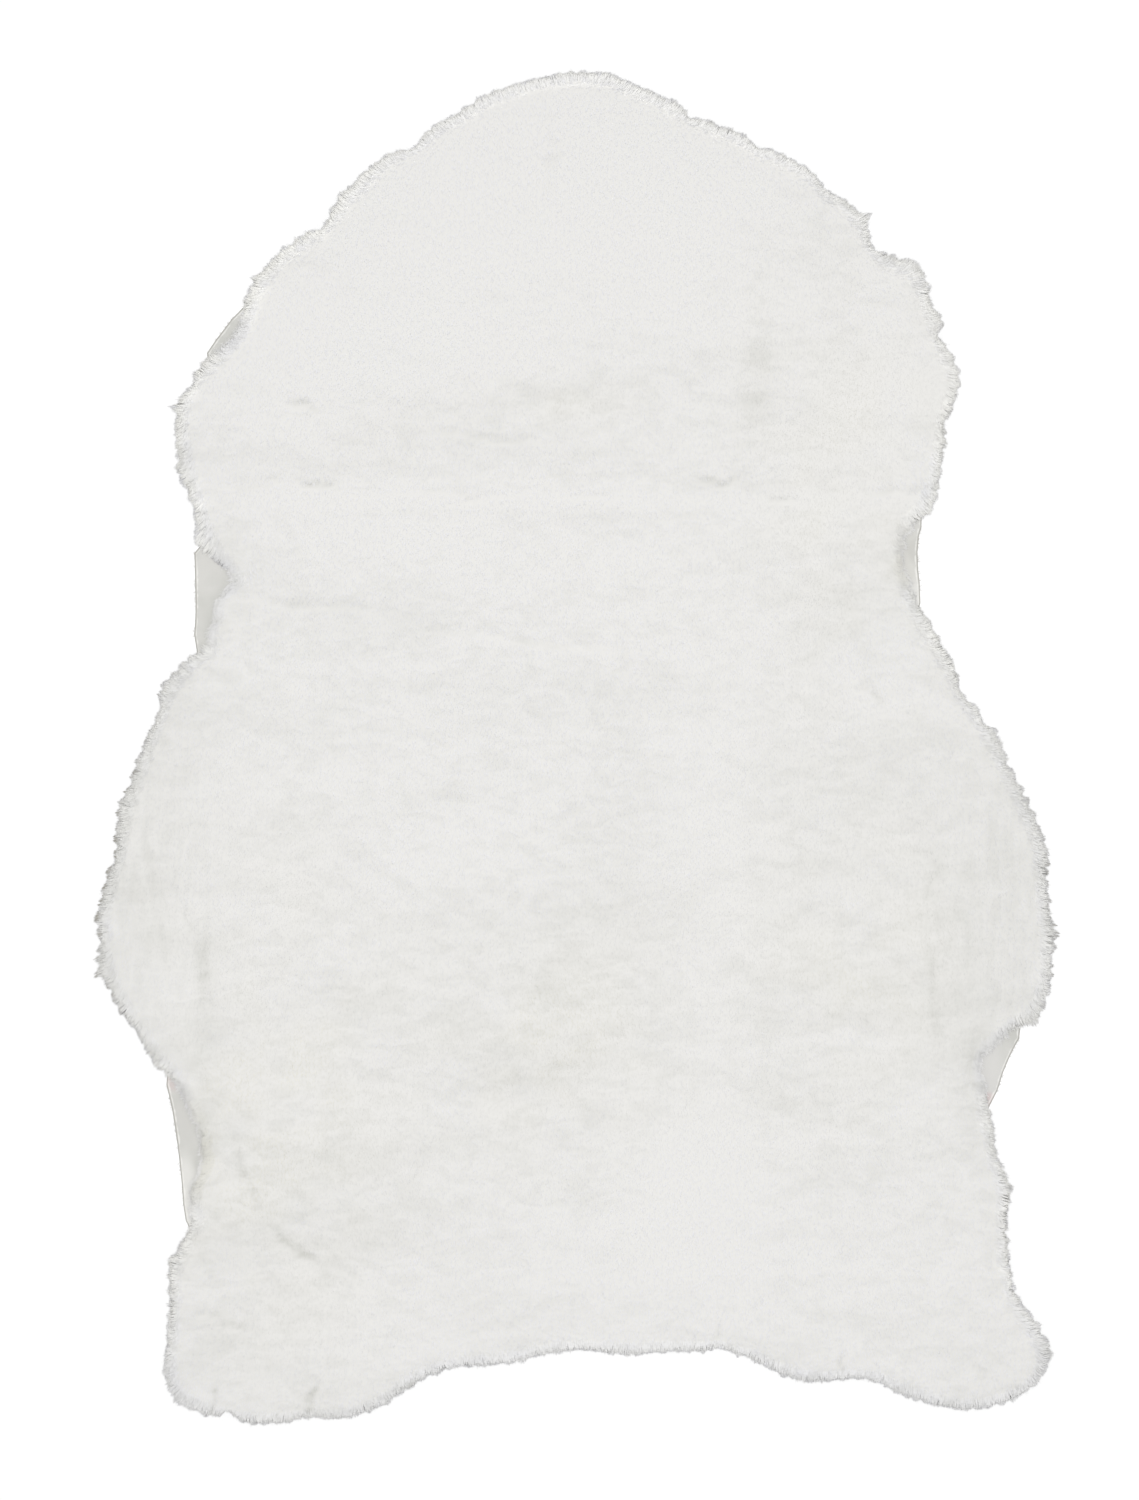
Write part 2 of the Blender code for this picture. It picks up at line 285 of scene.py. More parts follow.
# Places of the rim where the fleece is pulled out to a tuft or in to a notch: x, y, radius and pull, in mm
grabs = (
    ((-147, 344), 10, (-2.6, 2.2)),
    ((-204, 286), 16, (-2.6, 1.6)),
    ((-231, 247), 13, (-2.6, 1.4)),
    ((-253, 212), 6, (-4.6, 0.6)),
    ((-246, 168), 14, (-4.2, 0.0)),
    ((-234, 128), 11, (-2.5, -5.5)),
    ((-222, 123), 11, (-1.0, -5.0)),
    ((-212, 88), 13, (-7.0, 0.0)),
    ((-216, 72), 10, (-4.5, 0.0)),
    ((-212, 104), 9, (4.5, 0.0)),
    ((-231, 62), 8, (4.0, -4.0)),
    ((-228, -276), 16, (-7.5, 0.0)),
    ((256, -196), 12, (-5.0, 0.0)),
    ((250, -226), 10, (-1.0, 0.0)),
    ((-257, 39), 8, (-2.4, 1.0)),
    ((-285, -36), 15, (-3.0, 0.6)),
    ((-298, -100), 24, (-3.6, 0.0)),
    ((-299, -140), 11, (-4.6, -1.2)),
    ((-263, -196), 9, (-2.4, -1.2)),
    ((-252, -320), 16, (-3.2, 0.6)),
    ((-247, -407), 9, (-2.2, -2.2)),
    ((296, -375), 16, (4.4, 0.4)),
    ((272, -276), 15, (2.8, 0.0)),
    ((286, -172), 11, (3.4, -4.4)),
    ((299, -116), 10, (3.8, 0.0)),
    ((292, -60), 16, (2.6, 0.4)),
    ((265, 8), 14, (2.6, 1.4)),
    ((220, 145), 8, (2.6, -3.2)),
    ((238, 228), 14, (2.6, 0.0)),
    ((228, 267), 8, (3.2, 1.0)),
    ((210, 299), 13, (2.8, 4.0)),
    ((182, 330), 5, (3.0, 3.4)),
    ((64, 403), 6, (1.6, 3.0)),
    ((-104, 379), 12, (2.2, -4.6)),
    ((-80, 398), 24, (1.0, -2.4)),
    ((-159, 328), 9, (2.6, -2.8)),
    ((-218, 264), 10, (2.0, -1.6)),
    ((-240, 228), 8, (2.0, -1.6)),
    ((-265, 20), 12, (2.4, -0.8)),
    ((-291, -64), 12, (2.4, 0.0)),
    ((-256, -357), 26, (4.0, 0.0)),
    ((-216, -417), 8, (0.0, 4.6)),
    ((-166, -419), 16, (0.0, 3.0)),
    ((-78, -390), 34, (-1.2, 4.0)),
    ((90, -378), 12, (0.0, 3.6)),
    ((110, -383), 12, (0.0, 3.6)),
    ((184, -397), 16, (-0.6, 3.0)),
    ((277, -338), 18, (-4.4, 0.8)),
    ((267, -254), 20, (-3.6, 0.0)),
    ((247, 36), 12, (-4.8, -2.6)),
    ((258, 18), 8, (-3.4, -2.0)),
    ((232, 202), 9, (-3.6, 0.0)),
    ((230, 256), 8, (-4.2, 0.0)),
    ((190, 317), 12, (-3.0, -3.6)),
    ((159, 351), 14, (-2.4, -3.4)),
    ((116, 377), 12, (-1.2, -3.0)),
    ((73, 395), 9, (-1.4, -3.0)),
)

# Places beside the bare pits where the fleece thins out to the hide: x, y, radius in mm, share of its height
presses = (
    ((-228, 122), 13, 0.70),
    ((-212, 108), 13, 0.74),
    ((-216, 88), 13, 0.74),
    ((-228, 68), 12, 0.68),
    ((210, 132), 11, 0.68),
    ((212, 108), 12, 0.68),
    ((-240, -206), 11, 0.68),
    ((-232, -232), 13, 0.74),
    ((-230, -262), 13, 0.74),
    ((-236, -290), 11, 0.68),
    ((258, -184), 11, 0.68),
    ((252, -206), 12, 0.70),
    ((-228, 262), 10, 0.62),
)

# How softly those three fade to their edges, and how the partings wander
brush = {
    "grabFade": 1.6,
    "pressFade": 1.4,
    "partingFade": 2.2,
    "partingEnds": 0.35,  # share of its depth
    "bend": 1.2 * mm,
    "bendTurns": 9,  # radians from end to end
    "bendStarts": 40,  # radians per metre of X
}


def awayFrom(points, centre, radius):
    # 0 at the centre, 1 at the radius
    return np.linalg.norm(points[:, :2] - np.array(centre) * mm, axis=1) / (radius * mm)


def warp(points):
    # the same pulls and presses on the underwool and on every fibre, as with a sculptor's brush
    moved = points.copy()
    for centre, radius, pull in grabs:
        fade = np.exp(-brush["grabFade"] * awayFrom(points, centre, radius) ** 2)
        moved[:, :2] += fade[:, None] * np.array(pull) * mm
    for centre, radius, share in presses:
        above = np.maximum(moved[:, 2] - hideSheet["thickness"], 0)
        moved[:, 2] -= above * share * np.exp(-brush["pressFade"] * awayFrom(points, centre, radius) ** 2)
    return moved


def drawIn(upShare):
    # how far the underwool lies under the tips, by which way its surface faces
    undercut, rim, slope, top = underwool["facing"]
    deep = np.interp(upShare, (undercut, rim, slope, top), (0.0, 1.0, 1.0, 0.0))
    shallow = np.interp(upShare, (slope, top), (0.0, 1.0))
    return deep * underwool["rimDepth"] + shallow * underwool["topDepth"]


def partingDepth(points):
    lowered = np.zeros(len(points))
    ends = brush["partingEnds"]
    for start, end, halfWidth, depth in partings:
        start, end = np.array(start) * mm, np.array(end) * mm
        run = end - start
        share = np.clip(((points[:, :2] - start) @ run) / (run @ run), 0, 1)
        wave = np.sin(share * brush["bendTurns"] + start[0] * brush["bendStarts"])[:, None]
        bend = brush["bend"] * wave * np.array((run[1], -run[0])) / np.linalg.norm(run)
        away = np.linalg.norm(points[:, :2] - start - share[:, None] * run - bend, axis=1) / (halfWidth * mm)
        taper = ends + (1 - ends) * np.sin(math.pi * np.clip(share, 0.02, 0.98))
        lowered = np.maximum(lowered, depth * mm * taper * np.exp(-brush["partingFade"] * away ** 2))
    return lowered


def makeUnderwool():
    piece = copyOfPelt("underwool")
    points = pointsOf(piece)
    edges = np.zeros(len(piece.data.edges) * 2, np.int32)
    piece.data.edges.foreach_get("vertices", edges)
    edgeCount = np.bincount(edges, minlength=len(points))
    low, high = underwool["lockTips"]
    selectOnly(piece, "vertices", (points[:, 2] > low) & (points[:, 2] < high) & (edgeCount == 4))
    bpy.ops.object.mode_set(mode="EDIT")
    bpy.ops.mesh.dissolve_verts()
    bpy.ops.mesh.select_all(action="SELECT")
    bpy.ops.mesh.bisect(plane_co=(0, 0, underwool["cutHeight"]), plane_no=(0, 0, 1), use_fill=True,
                        clear_inner=True)
    bpy.ops.object.mode_set(mode="OBJECT")
    applyModifier(piece, "REMESH", mode="VOXEL", voxel_size=underwool["voxel"])
    applyModifier(piece, "SMOOTH", factor=0.5, iterations=underwool["smoothSteps"])

    faceUp = normalsOf(piece)[:, 2]
    movePoints(piece, pointsOf(piece) - drawIn(faceUp)[:, None] * normalsOf(piece))
    coat = piece.vertex_groups.new(name="coat")
    for i, weight in enumerate(np.clip((faceUp - underwool["tuftsFrom"]) / underwool["tuftsBlend"], 0, 1)):
        coat.add([i], float(weight), "REPLACE")
    for size, height in underwool["tufts"]:
        clouds = bpy.data.textures.new("tufts", "CLOUDS")
        clouds.noise_scale = size
        applyModifier(piece, "DISPLACE", texture=clouds, texture_coords="LOCAL", strength=height,
                      mid_level=0.5, vertex_group="coat")
    points = pointsOf(piece)
    points[:, 2] -= partingDepth(points) * np.clip(faceUp, 0, 1)
    points[points[:, 2] < underwool["cutHeight"] + underwool["cutBlend"], 2] = underwool["bottom"]
    movePoints(piece, points)
    piece.vertex_groups.clear()

    # the flat bottom lies in the hide, so one face is enough there
    selectOnly(piece, "polygons", facesBelow(piece, underwool["bottom"] + slack))
    bpy.ops.object.mode_set(mode="EDIT")
    bpy.ops.mesh.dissolve_faces()
    bpy.ops.object.mode_set(mode="OBJECT")
    piece.data.shade_smooth()
    return piece


body = makeUnderwool()
body.data.calc_loop_triangles()
print("underwool:", len(body.data.loop_triangles), "triangles")

# The wool: about 200,000 tapering bundles of fibres, each a closed three-sided spike. A fibre's side is 0
# on top of the fleece and 1 where its foot stands steep, at the rim.
wool = {
    "seed": 11,
    "count": 202000,
    "pieces": ("woolShoulders", "woolBack", "woolFlanks", "woolHaunches", "woolFeet"),  # from the neck down
    "grownFrom": -0.35,  # how far up the underwool faces where the wool starts
    "denseUpTo": 0.8,  # and up to where it grows denser
    "rimDensity": 3.0,
    "sideGain": 1.2,  # how soon a slope counts as a side
    "halfWidth": 0.55 * mm,  # at the root
    "widthSpread": 0.25,
    "widthRange": (0.4, 1.8),
    "rimWidth": 1.6,
    "keel": 0.6,  # how deep a fibre is, in half widths
    "roll": 10,  # degrees either way
    "sink": 0.7 * mm,  # of the roots into the underwool
    "lengthSpread": 0.05,
    "lean": 79,  # degrees from the surface's normal
    "rimLean": 36,  # degrees less
    "leanSpread": 2,
    "leanRange": (15, 84),
    "napLost": 0.85,  # at the rim, where the wool turns outwards and down
    "turnOut": 1.5,
    "turnDown": 0.8,
    "leastComb": 0.6,  # where the comb is weaker than this, the fibre leans less
    "swirl": 0.35,
    "swirlSize": 0.055,
    "swirlStart": (3.0, 0.0, 0.0),
    "stray": 0.05,
    "coatArea": 0.42,  # square metres
    "clumpSize": 3.4 * mm,
    "clumpPull": 0.06,
    "clumpStray": 0.06,
    "tuftPull": 0.10,  # of the fibres at the rim, to the tip of their tuft
    "tuftSpread": 0.35 * mm,  # how unequal the tufts are
    "flyaway": 0.03,  # share of loose hairs at the rim
    "flyawayFrom": 0.5,  # this side
    "flyawayLengths": (0.8, 2.6),  # mm past the others
    "flyawayWidth": 0.18 * mm,
    "ragged": ((0.0125, 1.5 * mm), (0.0055, 0.9 * mm), (0.0022, 0.6 * mm)),  # scallops: size, depth
    "scallop": (2.4, 0.55),  # the noise times the first, less the second, in depths
    "cleftWidth": 0.13,  # two scallops meet where the noise is below this
    "cleftGain": 4,
    "cleftShade": 0.12,
    "raggedFrom": (0.03, 0.2),  # the sides from which there are clefts, and from which scallops
    "rimReach": 2.25 * mm,  # past the pelt's locks
    "reachBlur": 1.6 * mm,  # along the outline
    "lockSearch": 14 * mm,
    "lockShare": (0.92, 1.06),  # of the way to it
    "rimLengths": (1.6 * mm, 12 * mm),
    "floorClear": 0.5 * mm,
    "floorSpread": 0.8 * mm,  # of the lowest tips above that
    "ownShade": (0.04, 0.09),  # how much of its own roundness a fibre shows, on top and at the rim
    "ownGain": 1.5,
    "shadeLift": 8.0,  # pile passes light on, so it is shaded as if it faced up more
    "steep": (0.05, 0.45),  # how far up it faces where that lift starts and where it is whole
    "overHide": (-4 * mm, -1 * mm),  # wool that ends this far inside the hide keeps the lift when steep
}

# Broad zones where the wool is warmer, or has more painted shade (by creases and the bare pits) or painted
# light (under the long crease, at the crown) than elsewhere: x, y and both radii in mm, warmth, shade
zones = (
    ((180, 150), (70, 130), 0.8, 0.0),
    ((-20, 214), (60, 14), 0.7, 0.38),
    ((-12, -180), (75, 70), 0.9, 0.22),
    ((-185, -230), (70, 150), 1.0, 0.12),
    ((180, -140), (75, 100), 0.8, 0.10),
    ((-15, 366), (9, 30), 0.0, 0.45),
    ((114, 236), (11, 42), 0.3, 0.50),
    ((-172, -300), (60, 46), 0.0, 0.16),
    ((-273, -80), (34, 92), 0.3, 0.46),
    ((258, -95), (38, 84), 0.0, 0.44),
    ((-230, -367), (26, 40), 0.0, 0.20),
    ((-250, 60), (30, 50), 0.0, 0.35),
    ((0, 153), (240, 5), 0.0, -0.55),
    ((0, 350), (130, 75), 0.0, -0.60),
    ((-40, 230), (220, 190), 0.0, -0.09),
    ((165, -298), (70, 36), 0.0, -0.20),
    ((60, -165), (120, 45), 0.0, 0.09),
    ((-185, 250), (50, 70), 0.0, -0.25),
    ((200, 235), (30, 60), 0.0, -0.20),
    ((-60, 122), (110, 26), 0.0, -0.18),
    ((85, -110), (30, 200), 0.0, -0.28),
    ((71, -267), (42, 46), 0.0, -0.45),
    ((10, -322), (130, 22), -0.5, -0.30),
    ((-120, 250), (70, 60), -0.3, -0.20),
    ((-220, 104), (12, 34), 0.4, 0.30),
    ((213, 116), (9, 34), 0.2, 0.20),
    ((-232, -240), (11, 50), 0.3, 0.60),
    ((247, -206), (11, 34), 0.0, 0.80),
    ((-230, -143), (6, 28), 0.0, 0.80),
)

# Parts of the rim with more painted shade (the flanks) or more painted light (by the left shoulder) than the
# rest: x, y and radius in mm, share
rimLightAndShade = (
    ((-290, -85), 115, 0.50),
    ((290, -95), 105, 0.30),
    ((-200, 270), 95, -0.32),
)

# How the wool is toned from its tips inwards, in mm. In a rim line, below 0 is painted light and above 0
# painted shade.
tones = {
    "rim": ((0, 0.7, 1.4, 2.2, 3.2, 4.4, 7, 9.5, 13),
            (0.3, 0.0, -0.75, -1.0, -0.92, -0.76, -0.4, -0.14, 0.0)),
    # painted shade and painted light for those parts of the rim, by how far in from the tips
    "paintedShadeRim": ((0, 1, 2, 3, 6), (1.8, 2.0, 0.9, 0.3, 0.0)),
    "paintedLightRim": ((0, 3, 9, 14), (0.2, 1.0, 1.0, 0.0)),
    "bareRim": ((-6, 0), (0.2, 1.0)),  # by the wool's reach past the hide
    "hem": ((-390, -340), (0.5, 1.0)),  # by Y: the nap lies flat along the hem, so it gets less painted light
    "shade": 0.45,  # outside the zones
    "zoneShade": 0.5,
    "partingShade": 0.22,
    "partingDarkest": 0.5,
    "lightest": 0.05,
}


def woolReach(near, out):
    # how far the wool reaches beyond the hide at each point of its outline
    reach = np.full(len(outline), -25 * mm)  # where no wool is near
    np.maximum.at(reach, near, out)
    tree = treeOf(outline)
    around = (tree.find_range(point, wool["reachBlur"]) for point in outline)
    return np.array([max(reach[i] for _, i, _ in found) for found in around])


def marksAt(points, inside, reach):
    # at each point: the rim's painted light and painted shade, how warm the wool is, and how much painted
    # shade it has
    x, y = points[:, 0] / mm, points[:, 1] / mm
    warmth, shade = np.zeros(len(points)), np.full(len(points), tones["shade"])
    # the zones' warmth, and their painted shade and painted light
    for middle, (width, height), warmer, darker in zones:
        near = np.exp(-((x - middle[0]) / width) ** 2 - ((y - middle[1]) / height) ** 2)
        warmth += warmer * near
        shade += tones["zoneShade"] * darker * near
    # painted shade along the partings
    shade += np.clip(tones["partingShade"] * (partingDepth(points) / mm) ** 2, 0, tones["partingDarkest"])
    extra = np.zeros(len(points))
    for middle, radius, share in rimLightAndShade:
        extra += share * np.exp(-((x - middle[0]) ** 2 + (y - middle[1]) ** 2) / radius ** 2)
    # the rim's painted light just inside the tips, and painted shade at the very edge
    rim = curve(inside, tones["rim"])
    rim *= np.where(rim < 0, np.interp(y, *tones["hem"]), 1.0)
    rim += np.maximum(extra, 0) * curve(inside, tones["paintedShadeRim"])
    rim += np.minimum(extra, 0) * curve(inside, tones["paintedLightRim"])
    rim *= curve(reach, tones["bareRim"])
    return np.stack([rim, np.clip(warmth, 0, 1), np.clip(shade, tones["lightest"], 1)], axis=1)


def scatterRoots(piece, count, rng):
    # roots all over the coat, the same number on each area, with the surface's normal at each
    mesh = piece.data
    mesh.calc_loop_triangles()
    corners = np.zeros(len(mesh.loop_triangles) * 3, np.int32)
    mesh.loop_triangles.foreach_get("vertices", corners)
    corners = corners.reshape(-1, 3)
    points, normals = pointsOf(piece), normalsOf(piece)
    a, b, c = (points[corners[:, k]] for k in range(3))
    cross = np.cross(b - a, c - a)
    area = np.linalg.norm(cross, axis=1) / 2
    facing = cross[:, 2] / np.maximum(2 * area, 1e-12)
    density = 1 + (wool["rimDensity"] - 1) * (facing < wool["denseUpTo"])
    area = np.where(facing > wool["grownFrom"], area, 0) * density
    reached = np.cumsum(area) / area.sum()
    picks = np.searchsorted(reached, (np.arange(count) + rng.random(count)) / count)
    p, q, r = corners[np.minimum(picks, len(corners) - 1)].T
    # two steady steps spread the roots of one face evenly
    u, v = (np.arange(count) * step % 1 for step in (0.7548776662, 0.5698402910))
    flip = u + v > 1
    u, v = np.where(flip, 1 - u, u)[:, None], np.where(flip, 1 - v, v)[:, None]
    roots = (1 - u - v) * points[p] + u * points[q] + v * points[r]
    return roots, unit((1 - u - v) * normals[p] + u * normals[q] + v * normals[r])


def growWool(rng):
    roots, normals = scatterRoots(body, wool["count"], rng)
    count = len(roots)
    side = np.clip((1 - normals[:, 2]) * wool["sideGain"], 0, 1)[:, None]

    clumpCount = int(wool["coatArea"] / wool["clumpSize"] ** 2)
    centres, _ = scatterRoots(body, clumpCount, rng)
    clumpOf = nearestOf(centres, roots)
    start = Vector(wool["swirlStart"])
    swirl = np.array([noise.noise_vector(Vector(p) / wool["swirlSize"] + start) for p in centres])[clumpOf]
    clumpStray = rng.normal(0, 1, (clumpCount, 3))[clumpOf]
    tuftReach = wool["tuftSpread"] * rng.normal(0, 1, clumpCount)[clumpOf]

    comb = napAxis * (1 - wool["napLost"] * side) + unit(normals * (1, 1, 0)) * wool["turnOut"] * side
    comb = comb - upAxis * wool["turnDown"] * side
    comb = comb + wool["swirl"] * swirl + wool["clumpStray"] * clumpStray
    comb = comb + wool["stray"] * rng.normal(0, 1, (count, 3))
    across = alongSurface(comb, normals)
    across = across / np.maximum(np.linalg.norm(across, axis=1, keepdims=True), wool["leastComb"])
    lean = wool["lean"] - wool["rimLean"] * side + wool["leanSpread"] * rng.normal(0, 1, (count, 1))
    lean = np.radians(np.clip(lean, *wool["leanRange"]))
    depth = drawIn(normals[:, 2:]) * (1 + wool["lengthSpread"] * rng.normal(0, 1, (count, 1)))
    tips = roots + depth * (normals + np.tan(lean) * across)
    tips = tips + wool["clumpPull"] * alongSurface(centres[clumpOf] - roots, normals)

    # at the rim the fibres end at the pelt's own locks, in uneven scallops and small tufts
    loose = (rng.random(count) < wool["flyaway"]) & (side[:, 0] > wool["flyawayFrom"])
    cleft = np.zeros(count)
    cleftsFrom, scallopsFrom = wool["raggedFrom"]
    gain, lost = wool["scallop"]
    shortest, longest = wool["rimLengths"]
    for i in np.flatnonzero(side[:, 0] > cleftsFrom):
        at = Vector((tips[i][0], tips[i][1], 0))
        billows = [abs(noise.noise(at / size)) for size, _ in wool["ragged"]]
        sideShare = min(1, side[i, 0] * wool["cleftGain"])
        cleft[i] = max(0, (1 - min(billows) / wool["cleftWidth"]) * sideShare)
        if side[i, 0] < scallopsFrom:
            continue
        run = Vector(tips[i] - roots[i])
        wish = run.length
        hit, lock, _, _ = pelt.ray_cast(Vector(roots[i]), run.normalized(), distance=wool["lockSearch"])
        if hit:  # half its own length, half the way to the lock
            wish = 0.5 * wish + 0.5 * (lock - Vector(roots[i])).length * rng.uniform(*wool["lockShare"])
        further = loose[i] * rng.uniform(*wool["flyawayLengths"]) * mm
        wish += (wool["rimReach"] + tuftReach[i]) * side[i, 0] + further
        for billow, (_, deep) in zip(billows, wool["ragged"]):
            wish += (gain * billow - lost) * deep * side[i, 0]
        tips[i] = roots[i] + np.array(run.normalized()) * min(max(wish, shortest), longest)
    members = np.bincount(clumpOf, minlength=clumpCount)
    tuftTips = np.stack([np.bincount(clumpOf, tips[:, k], clumpCount) for k in range(3)], axis=1)
    tuftTips = (tuftTips / np.maximum(members, 1)[:, None])[clumpOf]
    tips += wool["tuftPull"] * np.where(loose[:, None], 0, side) * (tuftTips - tips)
    tips[:, 2] = np.maximum(tips[:, 2], wool["floorClear"] + wool["floorSpread"] * rng.random(count))
    spread = 1 + wool["widthSpread"] * rng.normal(0, 1, (count, 1))
    widths = wool["halfWidth"] * np.clip(spread, *wool["widthRange"])
    widths = widths * (1 + (wool["rimWidth"] - 1) * side)
    widths[loose] = wool["flyawayWidth"]
    return roots, normals, tips, widths, cleft


def softNormals(normals, reach):
    # the steep sides keep their own shading where they stand free on the floor
    share = np.maximum(np.interp(normals[:, 2], wool["steep"], (0.0, 1.0)),
                       np.interp(reach, wool["overHide"], (1.0, 0.0)))
    return unit(normals + (wool["shadeLift"] * share)[:, None] * upAxis)


def woolMesh(name, starts, tips, normals, soft, widths, rolls, marks):
    # each fibre is a flattened spike: its broad face up, its keel towards the underwool
    count = len(starts)
    axis = unit(tips - starts)
    across = unit(np.cross(axis, normals))
    above = np.cross(across, axis)
    cosine, sine = np.cos(rolls), np.sin(rolls)
    across, above = cosine * across + sine * above, cosine * above - sine * across
    points = np.stack([starts + widths * across, starts - widths * across,
                       starts - wool["keel"] * widths * above, tips], axis=1).reshape(-1, 3)
    points[:, 2] = np.maximum(points[:, 2], wool["floorClear"])
    low, high = wool["ownShade"]
    own = low + (high - low) * np.clip((1 - normals[:, 2:]) * wool["ownGain"], 0, 1)
    shades = np.stack([unit(soft + own * across), unit(soft - own * across), soft, soft], axis=1)
    base = np.arange(count)[:, None] * 4
    faces = np.concatenate([base + corners for corners in ((1, 0, 3), (2, 1, 3), (0, 2, 3), (0, 1, 2))],
                           axis=1).reshape(-1)
    mesh = bpy.data.meshes.new(name)
    mesh.vertices.add(len(points))
    mesh.vertices.foreach_set("co", points.astype(np.float32).ravel())
    mesh.loops.add(len(faces))
    mesh.loops.foreach_set("vertex_index", faces.astype(np.int32))
    mesh.polygons.add(len(faces) // 3)
    mesh.polygons.foreach_set("loop_start", np.arange(0, len(faces), 3, dtype=np.int32))
    mesh.update(calc_edges=True)
    mesh.shade_smooth()
    mesh.normals_split_custom_set_from_vertices(shades.reshape(-1, 3))  # one soft surface
    piece = addObject(name, mesh)
    markPoints(piece, "along", "FLOAT", np.tile((0, 0, 0, 1), count))
    markPoints(piece, "marks", "FLOAT_VECTOR", marks[:, (0, 0, 0, 1)])
    return piece


rng = np.random.default_rng(wool["seed"])
noise.seed_set(wool["seed"])  # without it, noise_vector starts from the clock
roots, normals, tips, widths, cleft = growWool(rng)
near = nearOutline(roots)
tipsOut = beyondOutline(tips, near)
reach = woolReach(near, tipsOut)
marks = np.stack([marksAt(roots, reach[near] - beyondOutline(roots, near), reach[near]),
                  marksAt(tips, reach[near] - tipsOut, reach[near])], axis=1)
# painted shade in the clefts between the rim's scallops
marks[:, :, 2] += wool["cleftShade"] * cleft[:, None]

bodyPoints = pointsOf(body)
bodyNear = nearOutline(bodyPoints)
bodyReach = reach[bodyNear]
bodyInside = bodyReach - beyondOutline(bodyPoints, bodyNear)
markPoints(body, "marks", "FLOAT_VECTOR", marksAt(bodyPoints, bodyInside, bodyReach))
movePoints(body, warp(bodyPoints))
body.data.normals_split_custom_set_from_vertices(softNormals(normalsOf(body), bodyReach))

starts, tips = warp(roots - normals * wool["sink"]), warp(tips)
rolls = np.radians(wool["roll"]) * rng.normal(0, 1, (len(roots), 1))
soft = softNormals(normals, reach[near])
woolPieces = []
for name, part in zip(wool["pieces"], np.array_split(np.argsort(-roots[:, 1]), len(wool["pieces"]))):
    parts = (values[part] for values in (starts, tips, normals, soft, widths, rolls, marks))
    woolPieces.append(woolMesh(name, *parts))
print("wool:", [len(piece.data.polygons) for piece in woolPieces])


def thinFibres(name, starts, ends, look):
    # single fibres that lie off the coat, shaded as if they faced up
    count = len(starts)
    ups, rolls = np.tile(upAxis, (count, 1)), np.zeros((count, 1))
    widths = np.full((count, 1), look["halfWidth"])
    return woolMesh(name, starts, ends, ups, ups, widths, rolls, np.tile(look["marks"], (count, 2, 1)))


# Loose fibres along the cut edge, where the hide lies bare
threads = {
    "perPoint": 1.8,
    "clear": 3.5 * mm,  # from the nearest wool
    "halfWidth": 0.2 * mm,
    "lengths": (0.9 * mm, 3.2 * mm),
    "inside": 0.7 * mm,  # the outline
    "heights": (0.9, 1.7),  # mm
    "outwards": (0.1, 0.8),
    "upwards": (-0.4, 0.4),
    # half the rim's painted shade, some warmth, and painted shade
    "marks": (0.5, 0.3, 0.35),
}


def growThreads(rng):
    ends = tips * (1, 1, 0)
    bare = np.linalg.norm(ends[nearestOf(ends, outline)] - outline, axis=1) > threads["clear"]
    picks = rng.choice(np.flatnonzero(bare), int(threads["perPoint"] * bare.sum()))
    count = len(picks)
    out = outward[picks]
    run = out * rng.uniform(*threads["outwards"], (count, 1))
    run = run + out[:, ::-1] * (-1, 1) * rng.normal(0, 1, (count, 1))
    rooted = np.column_stack([-threads["inside"] * out, rng.uniform(*threads["heights"], count) * mm])
    run = np.column_stack([unit(run), rng.uniform(*threads["upwards"], count)])
    run = run * rng.uniform(*threads["lengths"], (count, 1))
    starts = outline[picks] + rooted
    return thinFibres("looseFibres", starts, starts + run, threads)


looseFibres = growThreads(rng)
print("loose fibres:", len(looseFibres.data.polygons), "faces")

# Wisps at the edge of the fleece that lie over the bare hide
wisps = {
    "share": 0.5,  # of the fibres that end there
    "steeperThan": 0.6,
    "shortBy": 2.5 * mm,  # of the hide's outline
    "halfWidth": 0.24 * mm,
    "lengths": (0.8 * mm, 4.2 * mm),
    "lengthShare": (0.4, 1),
    "tucked": 1.4 * mm,  # into the coat
    "heights": (2.1 * mm, 3.2 * mm),
    "nap": 0.5,
    "stray": 0.45,
    # a little of the rim's painted light, some warmth, and painted shade
    "marks": (-0.1, 0.3, 0.5),
}


def growWisps(rng):
    atHide = (normals[:, 2] < wisps["steeperThan"]) & (reach[near] < -wisps["shortBy"])
    picks = np.flatnonzero(atHide & (rng.random(len(tips)) < wisps["share"]))
    count = len(picks)
    run = unit(outward[near[picks]] + napAxis[:2] * wisps["nap"] + rng.normal(0, wisps["stray"], (count, 2)))
    length = rng.uniform(*wisps["lengths"], (count, 1)) * rng.uniform(*wisps["lengthShare"], (count, 1))
    starts = tips[picks] - np.column_stack([wisps["tucked"] * run, np.zeros(count)])
    ends = tips[picks] + np.column_stack([length * run, np.zeros(count)])
    starts[:, 2] = np.maximum(starts[:, 2], wisps["heights"][1])
    ends[:, 2] = rng.uniform(*wisps["heights"], count)
    return thinFibres("wisps", starts, ends, wisps)


wispPiece = growWisps(rng)
print("wisps:", len(wispPiece.data.polygons), "faces")


def newMaterial(name, finish):
    material = bpy.data.materials.new(name)
    material.use_nodes = True
    tree = material.node_tree
    surface = tree.nodes["Principled BSDF"]
    for key, value in finish.items():
        surface.inputs[key].default_value = value
    return material, tree, surface
